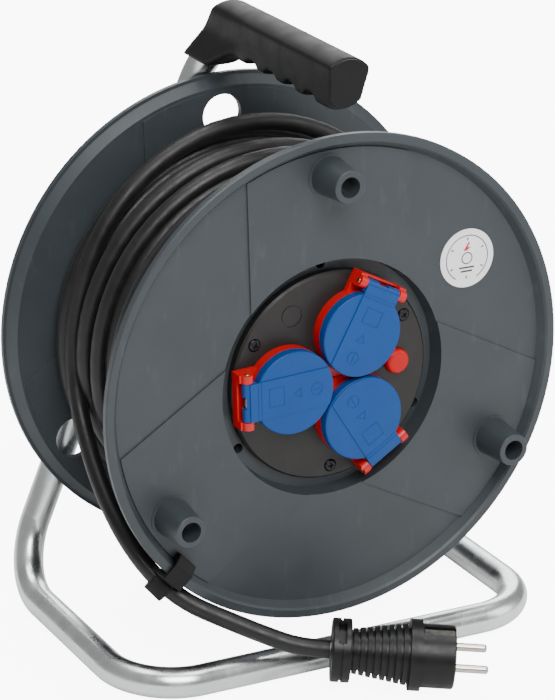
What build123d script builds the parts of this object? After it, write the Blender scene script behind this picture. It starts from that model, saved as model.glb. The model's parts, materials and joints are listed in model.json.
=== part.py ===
"""Cable reel on a bent steel-tube stand: a two-flange drum with a black rubber cable, a front panel with
three socket outlets under hinged lids, a resettable cut-out, and a moulded carrying grip.

Origin: on the surface it stands on, below the middle of the reel.  X right, Y backwards, Z up.
The drum turns about a horizontal axle along Y.  Sizes are millimetres.
"""

from build123d import *

import os
from math import cos, pi, radians, sin, tan

os.makedirs("parts", exist_ok=True)

# ---------------------------------------------------------------- driving dimensions
# stand
TUBE_R = 9.0
TUBE_BORE_R = 7.5
STAND_DEPTH = 170.2           # front cross tube to the leg plane, centre to centre
STAND_HALF_WIDTH = 132.4      # runners' centre lines from the middle
NUT_HEIGHT = 3.3              # the rearmost thing behind the legs
AXIS_Z = 168.7                # drum axle above the floor
CROSS_Y = -(STAND_DEPTH + NUT_HEIGHT) / 2
LEG_Y = CROSS_Y + STAND_DEPTH
GRIP_Z = AXIS_Z + 175.9       # tube centre line inside the grip
CORNER_R = 40.0
ELBOW_R = 44.0
RIGHT_LEG_TOP = AXIS_Z + 24.0
GRIP_OVERHANG = 2.3           # grip in front of the drum
FRAME_BOLT_R = 3.0
FRAME_HOLE_R = 3.1
FRAME_NUT_R = 5.6
SINK_R = 6.0                  # countersink of the frame bolts
SINK_DEPTH = 2.8

# drum: distances "back" are measured from the front rim's front plane
DRUM_FRONT = CROSS_Y + 16.7
DRUM_LENGTH = 142.8
FLANGE_R = 145.0
LIP_T = 4.0                   # rim lip, front to back
FACE_BACK = 6.0               # flange face behind the rim's front plane
SKIN = 3.0                    # flange and core wall
RIM_IN_R = 136.0
BAND_HALF = 51.0              # raised bands, half their width
BAND_RISE = 1.0
RECESS_R = 71.0
RECESS_FLOOR_R = 69.5
RECESS_BACK = 15.5
RING_IN_R = 57.0
CORE_R = 82.3
PEG_CIRCLE_R = 121.2
PEG_ANGLE = 93.2
PEG_TIP = -18.8
PEG_TIP_R = 9.4
PEG_ROOT_R = 11.4
PEG_BORE_R = 6.0
PEG_BOSS_RISE = 1.6           # bosses above the flange face
HAND_HOLE_R = 12.5            # holes through the rear flange
TIE_CIRCLE_R = 66.3
TIE_ANGLE = PEG_ANGLE + 1
TIE_HOLE_R = 3.0
TIE_SCREW_R = 1.65
SPIGOT_DEPTH = 6.0            # how far each flange reaches into the core
LABEL_CIRCLE_R = 104.0
LABEL_ANGLE = 34.6
LABEL_R = 17.6
LABEL_T = 0.5

# front panel and outlets
PLATE_R = 62.5
PLATE_FRONT = 9.5
PLATE_T = 2.5
PLATE_SCREW_R = 55.5
PLATE_SCREW_ANGLE = 32.0
OUTLET_ANGLE = 63.0
OUTLET_CIRCLE_R = 29.4
COLLAR_R = 24.8
COLLAR_FRONT = 3.2
WELL_R = 19.7
WELL_DEPTH = 17.5
WELL_WALL_R = 21.5
CONTACT_HALF = 9.5            # half the distance between the two live contacts
CONTACT_OUT_R = 3.4
CONTACT_IN_R = 2.5
HINGE_RADIAL = 57.6
HINGE_BACK = 0.3
HINGE_PIN_R = 1.5
HINGE_HALF = 11.4             # lid knuckle, half its length
EAR_OUT = 16.4
EAR_IN = 11.8
LID_R = 24.8
LID_FRONT = -3.0
LID_ARM = 4.8                 # from the knuckle's pin to the lid's edge
LID_T = 2.4
LID_SKIRT_T = 2.2
KNUCKLE_R = 3.1
SEAL_OUT_R = 22.3
SEAL_IN_R = 20.4
BUTTON_CIRCLE_R = 43.0
BUTTON_ANGLE = 3.0
BUTTON_R = 7.4
BUTTON_STEM_R = 3.0
BUTTON_GAP = 0.25

# bearing
AXLE_R = 12.0
BUSH_R = 15.0
HUB_R = 22.0
BAR_T = 5.0                   # flat steel crossbar
BAR_HALF_LENGTH = 82.0
BAR_HALF_HEIGHT = 15.0
AXLE_REACH = 48.0             # axle's front end before the drum's rear plane
HUB_REACH = 46.0
HUB_INSET = 5.0               # hub's rear end before the drum's rear plane
AXLE_BOLT_R = 4.0
AXLE_HOLE_R = 4.1
AXLE_HEX_R = 7.5
WASHER_R = 19.0
WASHER_T = 2.0

# cable
CABLE_R = 5.25
WINDING_IN_R = CORE_R + 0.3
WINDING_OUT_R = 118.0
WINDING_GAP = 1.4             # between the winding's ends and the flanges

# plug
PLUG_CAP_R = 18.2
PLUG_COLLAR_R = 20.4
PLUG_FACE_R = 18.2
PIN_R = 2.4
PIN_LENGTH = 19.0
PIN_ROOT_R = 1.9              # inside the plug
PIN_ROOT_LENGTH = 14.0

OUTLETS = [OUTLET_ANGLE + 120 * k for k in range(3)]
PEGS = [PEG_ANGLE + 120 * k for k in range(3)]
DRUM_AXIS = Axis((0, DRUM_FRONT, AXIS_Z), (0, 1, 0))
HALF_SECTION = Plane(origin=(0, DRUM_FRONT, AXIS_Z), x_dir=(1, 0, 0), z_dir=(0, 0, 1))


def face(back):
    """A drum cross-section, seen from the front, centred on the axle; extruding goes forwards."""
    return Plane(origin=(0, DRUM_FRONT + back, AXIS_Z), x_dir=(1, 0, 0), z_dir=(0, -1, 0))


def around(radius, angle, back):
    """The point at a radius and angle on the drum, a distance behind its front plane."""
    x = radius * cos(radians(angle))
    z = AXIS_Z + radius * sin(radians(angle))
    return Vector(x, DRUM_FRONT + back, z)


def outlet_plane(angle, back):
    """A drum cross-section turned so that its local X points from the axle to an outlet's hinge."""
    outward = (cos(radians(angle)), 0, sin(radians(angle)))
    return Plane(origin=(0, DRUM_FRONT + back, AXIS_Z), x_dir=outward, z_dir=(0, -1, 0))


def hinge_plane(angle, across):
    """A plane across an outlet's hinge pin, at a distance along it; local X outwards, local Y forwards."""
    outward = (cos(radians(angle)), 0, sin(radians(angle)))
    along = (sin(radians(angle)), 0, -cos(radians(angle)))
    pin = around(HINGE_RADIAL, angle, HINGE_BACK)
    origin = pin + Vector(*along) * across
    return Plane(origin=origin, x_dir=outward, z_dir=along)


def turned(points):
    """Revolve a closed outline of (radius, back) points about the drum's axle."""
    with BuildSketch(HALF_SECTION) as outline:
        with BuildLine():
            Polyline(*points, close=True)
        make_face()
    revolve(outline.sketch, axis=DRUM_AXIS)


def bend_radii(route, share=0.45):
    """The largest round corners that a route's runs allow."""
    radii = []
    for before, here, after in zip(route, route[1:], route[2:]):
        arriving, leaving = here - before, after - here
        half_turn = radians(arriving.get_angle(leaving)) / 2
        radii.append(share * min(arriving.length, leaving.length) / tan(half_turn))
    return radii


def save(builder, label):
    """Label a finished piece and write it."""
    builder.part.label = label
    export_step(builder.part, f"parts/{label}.step")


# ---------------------------------------------------------------- stand
lean = (Vector(0, LEG_Y, GRIP_Z) - Vector(-STAND_HALF_WIDTH, LEG_Y, TUBE_R)).normalized()
right_lean = Vector(-lean.X, 0, lean.Z)
right_foot = Vector(STAND_HALF_WIDTH, LEG_Y, TUBE_R)
right_top = right_foot + right_lean * ((RIGHT_LEG_TOP - TUBE_R) / right_lean.Z)
GRIP_FRONT = DRUM_FRONT - GRIP_OVERHANG
tube_route = [
    (0, GRIP_FRONT + 18, GRIP_Z),
    (0, LEG_Y, GRIP_Z),
    (-STAND_HALF_WIDTH, LEG_Y, TUBE_R),
    (-STAND_HALF_WIDTH, CROSS_Y, TUBE_R),
    (STAND_HALF_WIDTH, CROSS_Y, TUBE_R),
    (STAND_HALF_WIDTH, LEG_Y, TUBE_R),
    tuple(right_top),
]
tube_bends = [ELBOW_R, CORNER_R, CORNER_R, CORNER_R, CORNER_R]
leg_x = STAND_HALF_WIDTH * (1 - (AXIS_Z - TUBE_R) / (GRIP_Z - TUBE_R))
BAR_FRONT = LEG_Y - TUBE_R - BAR_T

with BuildPart() as frame_tube:
    with BuildLine() as tube_path:
        FilletPolyline(*tube_route, radius=tube_bends)
    with BuildSketch(Plane(origin=tube_route[0], z_dir=(0, 1, 0))):
        Circle(TUBE_R)
        Circle(TUBE_BORE_R, mode=Mode.SUBTRACT)
    sweep(path=tube_path.wires()[0])
    for side in (-1, 1):
        with BuildSketch(Plane(origin=(side * leg_x, LEG_Y + 12, AXIS_Z), z_dir=(0, -1, 0))):
            Circle(FRAME_HOLE_R)
        extrude(amount=24, mode=Mode.SUBTRACT)
save(frame_tube, "frame_tube")

with BuildPart() as tube_plug:
    with BuildSketch(Plane(origin=right_top, z_dir=right_lean)):
        Circle(TUBE_R)
    extrude(amount=2.5)
    fillet(tube_plug.faces().sort_by(Axis.Z)[-1].edges(), 1.5)
    with BuildSketch(Plane(origin=right_top, z_dir=-right_lean)):
        Circle(TUBE_BORE_R)
    extrude(amount=12)
save(tube_plug, "tube_plug")

with BuildPart() as crossbar:
    with BuildSketch(Plane(origin=(0, BAR_FRONT + BAR_T, AXIS_Z), z_dir=(0, -1, 0), x_dir=(1, 0, 0))):
        SlotOverall(2 * BAR_HALF_LENGTH, 2 * BAR_HALF_HEIGHT)
        Circle(AXLE_HOLE_R, mode=Mode.SUBTRACT)
    extrude(amount=BAR_T)
    for side in (-1, 1):
        with Locations(Plane(origin=(side * leg_x, BAR_FRONT, AXIS_Z), z_dir=(0, -1, 0))):
            CounterSinkHole(FRAME_HOLE_R, SINK_R, depth=BAR_T + 1)
save(crossbar, "crossbar")

with BuildPart() as frame_bolts:
    for side in (-1, 1):
        with BuildSketch(Plane(origin=(side * leg_x, BAR_FRONT, AXIS_Z), z_dir=(0, 1, 0))):
            Circle(FRAME_BOLT_R)
        extrude(amount=BAR_T + 2 * TUBE_R + NUT_HEIGHT - 0.8)
        with Locations(Plane(origin=(side * leg_x, BAR_FRONT + SINK_DEPTH / 2, AXIS_Z), z_dir=(0, -1, 0))):
            Cone(FRAME_BOLT_R, SINK_R - 0.2, SINK_DEPTH)
save(frame_bolts, "frame_bolts")

with BuildPart() as frame_nuts:
    for side in (-1, 1):
        with BuildSketch(Plane(origin=(side * leg_x, LEG_Y + TUBE_R, AXIS_Z), z_dir=(0, 1, 0))):
            RegularPolygon(FRAME_NUT_R, 6)
            Circle(FRAME_BOLT_R, mode=Mode.SUBTRACT)
        extrude(amount=NUT_HEIGHT)
save(frame_nuts, "frame_nuts")

# ---------------------------------------------------------------- axle and bearing
AXLE_FRONT = DRUM_FRONT + DRUM_LENGTH - AXLE_REACH

with BuildPart() as axle:
    with BuildSketch(Plane(origin=(0, BAR_FRONT, AXIS_Z), z_dir=(0, -1, 0))):
        Circle(AXLE_R)
        Circle(AXLE_HOLE_R, mode=Mode.SUBTRACT)
    extrude(amount=BAR_FRONT - AXLE_FRONT)
save(axle, "axle")

with BuildPart() as axle_washer:
    with BuildSketch(Plane(origin=(0, AXLE_FRONT, AXIS_Z), z_dir=(0, -1, 0))):
        Circle(WASHER_R)
        Circle(AXLE_HOLE_R, mode=Mode.SUBTRACT)
    extrude(amount=WASHER_T)
    fillet(axle_washer.faces().sort_by(Axis.Y)[0].edges().sort_by(SortBy.LENGTH)[-1], 0.6)
save(axle_washer, "axle_washer")

with BuildPart() as axle_bolt:
    with BuildSketch(Plane(origin=(0, AXLE_FRONT - WASHER_T, AXIS_Z), z_dir=(0, -1, 0))):
        RegularPolygon(AXLE_HEX_R, 6)
    extrude(amount=5.3)
    with BuildSketch(Plane(origin=(0, AXLE_FRONT - WASHER_T, AXIS_Z), z_dir=(0, 1, 0))):
        Circle(AXLE_BOLT_R)
    extrude(amount=BAR_FRONT + BAR_T + 8 - AXLE_FRONT + WASHER_T)
save(axle_bolt, "axle_bolt")

with BuildPart() as axle_nut:
    with BuildSketch(Plane(origin=(0, BAR_FRONT + BAR_T, AXIS_Z), z_dir=(0, 1, 0))):
        RegularPolygon(AXLE_HEX_R, 6)
        Circle(AXLE_BOLT_R, mode=Mode.SUBTRACT)
    extrude(amount=6.5)
save(axle_nut, "axle_nut")

HUB_FRONT = DRUM_LENGTH - HUB_REACH
with BuildPart() as hub_bush:
    with BuildSketch(face(HUB_FRONT)):
        Circle(BUSH_R)
        Circle(AXLE_R + 0.05, mode=Mode.SUBTRACT)
    extrude(amount=-(DRUM_LENGTH - HUB_INSET - HUB_FRONT))
save(hub_bush, "hub_bush")

# ---------------------------------------------------------------- drum
rim_outline = [
    (RIM_IN_R, FACE_BACK),
    (139.0, 1.2),
    (140.2, 0.0),
    (144.2, 0.0),
    (FLANGE_R, 0.8),
    (FLANGE_R, LIP_T),
    (143.0, LIP_T),
    (138.0, FACE_BACK + SKIN),
]


def bands(back, outer, inner, amount):
    """Three straight-sided raised bands on a flange face, one along each peg's radius."""
    with BuildSketch(face(back)) as stripes:
        with PolarLocations(outer, 3, start_angle=PEG_ANGLE):
            Rectangle(2 * (outer - inner / 2), 2 * BAND_HALF)
        Circle(outer, mode=Mode.INTERSECT)
        Circle(inner, mode=Mode.SUBTRACT)
    extrude(stripes.sketch, amount=amount)


with BuildPart() as front_flange:
    turned(
        [(RING_IN_R, RECESS_BACK), (RECESS_FLOOR_R, RECESS_BACK), (RECESS_R, FACE_BACK)]
        + rim_outline
        + [
            (RECESS_R + SKIN + 0.6, FACE_BACK + SKIN),
            (RECESS_FLOOR_R + SKIN, RECESS_BACK + SKIN),
            (RING_IN_R, RECESS_BACK + SKIN),
        ]
    )
    bands(FACE_BACK, RIM_IN_R, RECESS_R, BAND_RISE)
    # spigot that centres the core
    turned(
        [
            (CORE_R - 2 * SKIN, FACE_BACK + 1),
            (CORE_R - SKIN, FACE_BACK + 1),
            (CORE_R - SKIN, FACE_BACK + SKIN + SPIGOT_DEPTH),
            (CORE_R - 2 * SKIN, FACE_BACK + SKIN + SPIGOT_DEPTH),
        ]
    )
    # low bosses that the pegs stand on
    with BuildSketch(face(FACE_BACK)):
        with PolarLocations(PEG_CIRCLE_R, 3, start_angle=PEG_ANGLE):
            Circle(PEG_ROOT_R + 1.6)
    extrude(amount=PEG_BOSS_RISE)
    with BuildSketch(face(FACE_BACK - PEG_BOSS_RISE)):
        with PolarLocations(PEG_CIRCLE_R, 3, start_angle=PEG_ANGLE):
            Circle(PEG_BORE_R)
    extrude(amount=-(SKIN + PEG_BOSS_RISE + 1), mode=Mode.SUBTRACT)
    # tubes for the tie screws and posts for the panel screws, behind the recess floor
    with BuildSketch(face(RECESS_BACK + SKIN)):
        with PolarLocations(TIE_CIRCLE_R, 3, start_angle=TIE_ANGLE):
            Circle(TIE_HOLE_R + 2)
    extrude(amount=-13)
    with BuildSketch(face(RECESS_BACK)):
        with PolarLocations(TIE_CIRCLE_R, 3, start_angle=TIE_ANGLE):
            Circle(TIE_HOLE_R)
    extrude(amount=-12, mode=Mode.SUBTRACT)
    with BuildSketch(face(RECESS_BACK)):
        with PolarLocations(TIE_CIRCLE_R, 3, start_angle=TIE_ANGLE):
            Circle(1.9)
    extrude(amount=-(SKIN + 14), mode=Mode.SUBTRACT)
    with BuildSketch(face(RECESS_BACK + SKIN)):
        with PolarLocations(PLATE_SCREW_R, 3, start_angle=PLATE_SCREW_ANGLE):
            Circle(4.5)
    extrude(amount=RECESS_BACK + SKIN - PLATE_FRONT - PLATE_T)
    with BuildSketch(face(0)):
        with PolarLocations(PLATE_SCREW_R, 3, start_angle=PLATE_SCREW_ANGLE):
            Circle(1.5)
    extrude(amount=-(RECESS_BACK + SKIN + 1), mode=Mode.SUBTRACT)
save(front_flange, "front_flange")

with BuildPart() as pegs:
    for angle in PEGS:
        root = around(PEG_CIRCLE_R, angle, FACE_BACK - PEG_BOSS_RISE)
        tip = around(PEG_CIRCLE_R, angle, PEG_TIP)
        with BuildSketch(Plane(origin=root, x_dir=(1, 0, 0), z_dir=(0, -1, 0))):
            Circle(PEG_ROOT_R)
        with BuildSketch(Plane(origin=tip, x_dir=(1, 0, 0), z_dir=(0, -1, 0))):
            Circle(PEG_TIP_R)
        loft()
    peg_tips = pegs.faces().filter_by(GeomType.PLANE).group_by(Axis.Y)[0]
    fillet(peg_tips.edges(), 0.8)
    with BuildSketch(face(PEG_TIP - 1)):
        with PolarLocations(PEG_CIRCLE_R, 3, start_angle=PEG_ANGLE):
            Circle(PEG_BORE_R)
    extrude(amount=-(FACE_BACK - PEG_TIP + 1), mode=Mode.SUBTRACT)
save(pegs, "pegs")

with BuildPart() as rear_flange:
    turned(
        [(BUSH_R, DRUM_LENGTH - FACE_BACK - SKIN), (BUSH_R, DRUM_LENGTH - FACE_BACK)]
        + [(radius, DRUM_LENGTH - back) for radius, back in rim_outline]
    )
    bands(DRUM_LENGTH - FACE_BACK - SKIN, RIM_IN_R, CORE_R, BAND_RISE)
    turned(
        [
            (BUSH_R, HUB_FRONT),
            (HUB_R, HUB_FRONT),
            (HUB_R, DRUM_LENGTH - HUB_INSET),
            (BUSH_R, DRUM_LENGTH - HUB_INSET),
        ]
    )
    turned(
        [
            (CORE_R - 2 * SKIN, DRUM_LENGTH - FACE_BACK - SKIN - SPIGOT_DEPTH),
            (CORE_R - SKIN, DRUM_LENGTH - FACE_BACK - SKIN - SPIGOT_DEPTH),
            (CORE_R - SKIN, DRUM_LENGTH - FACE_BACK - 1),
            (CORE_R - 2 * SKIN, DRUM_LENGTH - FACE_BACK - 1),
        ]
    )
    # radial ribs between the hub and the spigot
    with BuildSketch(face(DRUM_LENGTH - FACE_BACK - 1)):
        with PolarLocations((HUB_R + CORE_R - 2 * SKIN) / 2, 6, start_angle=PEG_ANGLE + 30):
            Rectangle(CORE_R - 2 * SKIN - HUB_R + 2, 2.4)
    extrude(amount=20)
    with BuildSketch(face(0)):
        with PolarLocations(PEG_CIRCLE_R, 3, start_angle=PEG_ANGLE):
            Circle(HAND_HOLE_R)
        with PolarLocations(TIE_CIRCLE_R, 3, start_angle=TIE_ANGLE):
            Circle(2.2)
    extrude(amount=-(DRUM_LENGTH + 1), mode=Mode.SUBTRACT)
save(rear_flange, "rear_flange")

TOWER_FRONT = RECESS_BACK + SKIN + 13.2
TOWER_BACK = DRUM_LENGTH - FACE_BACK - SKIN
GLAND_ANGLE = 273.0
GLAND_BACK = 116.0
GLAND_R = 8.0
with BuildPart() as drum_core:
    turned(
        [
            (CORE_R - SKIN, FACE_BACK + SKIN),
            (CORE_R, FACE_BACK + SKIN),
            (CORE_R, TOWER_BACK),
            (CORE_R - SKIN, TOWER_BACK),
        ]
    )
    with BuildSketch(face(TOWER_FRONT)):
        with PolarLocations(TIE_CIRCLE_R, 3, start_angle=TIE_ANGLE):
            Circle(5)
        with PolarLocations((TIE_CIRCLE_R + CORE_R - 1.5) / 2 + 1.2, 3, start_angle=TIE_ANGLE):
            Rectangle(CORE_R - TIE_CIRCLE_R - 3.5, 4)
    extrude(amount=-(TOWER_BACK - 8 - TOWER_FRONT))
    with BuildSketch(face(TOWER_FRONT - 1)):
        with PolarLocations(TIE_CIRCLE_R, 3, start_angle=TIE_ANGLE):
            Circle(1.7)
    extrude(amount=-(TOWER_BACK - TOWER_FRONT), mode=Mode.SUBTRACT)
    gland_plane = Plane(origin=around(0, 0, GLAND_BACK), z_dir=around(1, GLAND_ANGLE, 0) - around(0, 0, 0))
    with BuildSketch(gland_plane):
        Circle(GLAND_R + 0.1)
    extrude(amount=CORE_R + 2, mode=Mode.SUBTRACT)
save(drum_core, "drum_core")

with BuildPart() as tie_screws:
    with BuildSketch(face(RECESS_BACK + 9)):
        with PolarLocations(TIE_CIRCLE_R, 3, start_angle=TIE_ANGLE):
            Circle(TIE_HOLE_R - 0.2)
    extrude(amount=-2.9)
    with BuildSketch(face(RECESS_BACK + 11.8)):
        with PolarLocations(TIE_CIRCLE_R, 3, start_angle=TIE_ANGLE):
            Circle(TIE_SCREW_R)
    extrude(amount=-22)
save(tie_screws, "tie_screws")

with BuildPart() as rear_screws:
    with BuildSketch(face(DRUM_LENGTH - FACE_BACK)):
        with PolarLocations(TIE_CIRCLE_R, 3, start_angle=TIE_ANGLE):
            Circle(4.2)
    extrude(amount=-2.2)
    with BuildSketch(face(DRUM_LENGTH - FACE_BACK)):
        with PolarLocations(TIE_CIRCLE_R, 3, start_angle=TIE_ANGLE):
            Circle(TIE_SCREW_R)
    extrude(amount=24)
save(rear_screws, "rear_screws")

with BuildPart() as round_label:
    label_centre = around(LABEL_CIRCLE_R, LABEL_ANGLE, FACE_BACK)
    with BuildSketch(Plane(origin=label_centre, x_dir=(1, 0, 0), z_dir=(0, -1, 0))):
        Circle(LABEL_R)
    extrude(amount=LABEL_T)
save(round_label, "round_label")

# ---------------------------------------------------------------- front panel
with BuildPart() as socket_plate:
    turned(
        [
            (0, PLATE_FRONT),
            (PLATE_R - 1.2, PLATE_FRONT),
            (PLATE_R, PLATE_FRONT + 1.2),
            (PLATE_R, RECESS_BACK),
            (PLATE_R - 2.5, RECESS_BACK),
            (PLATE_R - 2.5, PLATE_FRONT + PLATE_T),
            (0, PLATE_FRONT + PLATE_T),
        ]
    )
    with BuildSketch(face(PLATE_FRONT - 1)):
        with PolarLocations(OUTLET_CIRCLE_R, 3, start_angle=OUTLET_ANGLE):
            Circle(WELL_WALL_R + 0.15)
        with PolarLocations(BUTTON_CIRCLE_R, 1, start_angle=BUTTON_ANGLE):
            Circle(BUTTON_R + BUTTON_GAP)
        with PolarLocations(PLATE_SCREW_R, 3, start_angle=PLATE_SCREW_ANGLE):
            Circle(1.9)
    extrude(amount=-(PLATE_T + 2), mode=Mode.SUBTRACT)
    with BuildSketch(face(PLATE_FRONT)):
        with PolarLocations(PLATE_SCREW_R, 3, start_angle=PLATE_SCREW_ANGLE):
            Circle(3.9)
    extrude(amount=-1.2, mode=Mode.SUBTRACT)
    # knock-out for a further outlet or lamp
    with BuildSketch(face(PLATE_FRONT)):
        with PolarLocations(47.5, 1, start_angle=BUTTON_ANGLE + 120):
            Circle(6.6)
            Circle(5.9, mode=Mode.SUBTRACT)
    extrude(amount=-0.4, mode=Mode.SUBTRACT)
save(socket_plate, "socket_plate")

with BuildPart() as plate_screws:
    with BuildSketch(face(PLATE_FRONT + 1.2)):
        with PolarLocations(PLATE_SCREW_R, 3, start_angle=PLATE_SCREW_ANGLE):
            Circle(3.6)
    extrude(amount=2.2)
    fillet(plate_screws.faces().sort_by(Axis.Y)[:3].edges(), 1.2)
    with BuildSketch(face(PLATE_FRONT + 1.2)):
        with PolarLocations(PLATE_SCREW_R, 3, start_angle=PLATE_SCREW_ANGLE):
            Circle(1.5)
    extrude(amount=-12)
    with BuildSketch(face(PLATE_FRONT - 2)):
        with PolarLocations(PLATE_SCREW_R, 3, start_angle=PLATE_SCREW_ANGLE):
            Rectangle(3.6, 0.9)
            Rectangle(0.9, 3.6)
    extrude(amount=-2.2, mode=Mode.SUBTRACT)
save(plate_screws, "plate_screws")

WELL_BOTTOM = COLLAR_FRONT + WELL_DEPTH
WELL_FLOOR_T = 2.3
FOOT_BACK = 6.4               # front of a hinge bracket's foot
WALL_BACK = 4.0               # front of the low wall behind a hinge
WEB_RISE = 3.2                # wedges between the collars, above the panel
for number, angle in enumerate(OUTLETS, start=1):
    with BuildPart() as outlet:
        with BuildSketch(outlet_plane(angle, PLATE_FRONT)):
            with Locations((OUTLET_CIRCLE_R, 0)):
                Circle(COLLAR_R)
        extrude(amount=PLATE_FRONT - COLLAR_FRONT)
        with BuildSketch(outlet_plane(angle, PLATE_FRONT)):
            with Locations((OUTLET_CIRCLE_R, 0)):
                Circle(WELL_WALL_R)
        extrude(amount=-(WELL_BOTTOM + WELL_FLOOR_T - PLATE_FRONT))
        # a third of the web in the middle of the panel
        with BuildSketch(outlet_plane(angle, PLATE_FRONT)):
            with BuildLine():
                Polyline((0.4, 0), (7.4, 12.0), (7.4, -12.0), close=True)
            make_face()
        extrude(amount=WEB_RISE)
        # hinge bracket: foot, two ears and a low wall behind the knuckle
        with BuildSketch(outlet_plane(angle, PLATE_FRONT)):
            with Locations((54.5, 0)):
                Rectangle(13.4, 2 * EAR_OUT)
        extrude(amount=PLATE_FRONT - FOOT_BACK)
        with BuildSketch(outlet_plane(angle, PLATE_FRONT)):
            with Locations((61.75, 0)):
                Rectangle(1.1, 2 * EAR_OUT)
        extrude(amount=PLATE_FRONT - WALL_BACK)
        for start in (EAR_IN, -EAR_OUT):
            with BuildSketch(hinge_plane(angle, start)):
                Circle(3.5)
                with Locations((0.6, -4.6)):
                    Rectangle(8.2, 9.2)
                Circle(HINGE_PIN_R, mode=Mode.SUBTRACT)
            extrude(amount=EAR_OUT - EAR_IN)
        with BuildSketch(outlet_plane(angle, COLLAR_FRONT - 1)):
            with Locations((OUTLET_CIRCLE_R, 0)):
                Circle(WELL_R)
        extrude(amount=-(WELL_DEPTH + 1), mode=Mode.SUBTRACT)
        with BuildSketch(outlet_plane(angle, WELL_BOTTOM - 1)):
            with Locations((OUTLET_CIRCLE_R, CONTACT_HALF), (OUTLET_CIRCLE_R, -CONTACT_HALF)):
                Circle(2.9)
        extrude(amount=-5, mode=Mode.SUBTRACT)
    save(outlet, f"outlet_{number}")

CARRIER_FRONT = WELL_BOTTOM + WELL_FLOOR_T
CARRIER_BACK = CARRIER_FRONT + 10
with BuildPart() as contact_carrier:
    with BuildSketch(face(CARRIER_FRONT)):
        Circle(50)
    extrude(amount=-(CARRIER_BACK - CARRIER_FRONT))
    with BuildSketch(outlet_plane(BUTTON_ANGLE, CARRIER_FRONT - 1)):
        with Locations((BUTTON_CIRCLE_R + 10, 0)):
            Rectangle(40.6, 24.6)
    extrude(amount=-14, mode=Mode.SUBTRACT)
    for angle in OUTLETS:
        with BuildSketch(outlet_plane(angle, CARRIER_FRONT - 1)):
            for side in (-1, 1):
                with Locations((OUTLET_CIRCLE_R, side * CONTACT_HALF)):
                    Circle(CONTACT_OUT_R)
        extrude(amount=-10, mode=Mode.SUBTRACT)
save(contact_carrier, "contact_carrier")

with BuildPart() as live_contacts:
    for angle in OUTLETS:
        with BuildSketch(outlet_plane(angle, CARRIER_FRONT)):
            for side in (-1, 1):
                with Locations((OUTLET_CIRCLE_R, side * CONTACT_HALF)):
                    Circle(CONTACT_OUT_R)
                    Circle(CONTACT_IN_R, mode=Mode.SUBTRACT)
        extrude(amount=-9)
save(live_contacts, "live_contacts")

with BuildPart() as earth_contacts:
    for angle in OUTLETS:
        for side in (-1, 1):
            with BuildSketch(outlet_plane(angle, WELL_BOTTOM)):
                with Locations((OUTLET_CIRCLE_R + side * (WELL_R - 1.5), 0)):
                    Rectangle(1.0, 4.5)
                with Locations((OUTLET_CIRCLE_R + side * (WELL_R - 2.4), 0)):
                    Rectangle(1.8, 4.5)
            extrude(amount=11.5)
save(earth_contacts, "earth_contacts")

with BuildPart() as breaker:
    with BuildSketch(outlet_plane(BUTTON_ANGLE, PLATE_FRONT + PLATE_T)):
        with Locations((BUTTON_CIRCLE_R + 1, 0)):
            Rectangle(20, 22)
    extrude(amount=-28)
    with BuildSketch(outlet_plane(BUTTON_ANGLE, PLATE_FRONT + PLATE_T - 1)):
        with Locations((BUTTON_CIRCLE_R, 0)):
            Circle(BUTTON_R + BUTTON_GAP)
    extrude(amount=-6, mode=Mode.SUBTRACT)
    with BuildSketch(outlet_plane(BUTTON_ANGLE, PLATE_FRONT + PLATE_T)):
        with Locations((BUTTON_CIRCLE_R, 0)):
            Circle(BUTTON_STEM_R + 0.05)
    extrude(amount=-16, mode=Mode.SUBTRACT)
save(breaker, "breaker")

with BuildPart() as reset_button:
    with BuildSketch(outlet_plane(BUTTON_ANGLE, PLATE_FRONT + 4)):
        with Locations((BUTTON_CIRCLE_R, 0)):
            Circle(BUTTON_R)
    extrude(amount=8)
    fillet(reset_button.faces().sort_by(Axis.Y)[0].edges(), 2.5)
    with BuildSketch(outlet_plane(BUTTON_ANGLE, PLATE_FRONT + 4)):
        with Locations((BUTTON_CIRCLE_R, 0)):
            Circle(BUTTON_STEM_R)
    extrude(amount=-10)
save(reset_button, "reset_button")

LEAD_IN_R = 45.0              # where the cable runs forwards inside the core
BLOCK_DEPTH = 22.0
with BuildPart() as terminal_block:
    with BuildSketch(outlet_plane(GLAND_ANGLE, CARRIER_BACK)):
        with Locations((LEAD_IN_R, 0)):
            Rectangle(24, 22)
    extrude(amount=-BLOCK_DEPTH)
    fillet(terminal_block.edges().filter_by(Axis.Y), 2)
save(terminal_block, "terminal_block")

inner_route = [
    around(CORE_R, GLAND_ANGLE, GLAND_BACK),
    around(LEAD_IN_R + 15, GLAND_ANGLE, GLAND_BACK),
    around(LEAD_IN_R, GLAND_ANGLE, GLAND_BACK - 15),
    around(LEAD_IN_R, GLAND_ANGLE, CARRIER_BACK + BLOCK_DEPTH),
]
with BuildPart() as inner_lead:
    with BuildLine() as inner_path:
        FilletPolyline(*inner_route, radius=bend_radii(inner_route))
    with BuildSketch(Plane(origin=inner_route[0], z_dir=inner_route[1] - inner_route[0])):
        Circle(CABLE_R)
    sweep(path=inner_path.wires()[0])
save(inner_lead, "inner_lead")

GLAND_FLANGE_OUT = CORE_R - SKIN - 1.5
with BuildPart() as core_gland:
    with BuildSketch(gland_plane.offset(GLAND_FLANGE_OUT - 5.5)):
        Circle(GLAND_R + 2.5)
        Circle(CABLE_R + 0.1, mode=Mode.SUBTRACT)
    extrude(amount=5.5)
    with BuildSketch(gland_plane.offset(GLAND_FLANGE_OUT)):
        Circle(GLAND_R)
        Circle(CABLE_R + 0.1, mode=Mode.SUBTRACT)
    extrude(amount=SKIN + 1)
save(core_gland, "core_gland")

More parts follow.
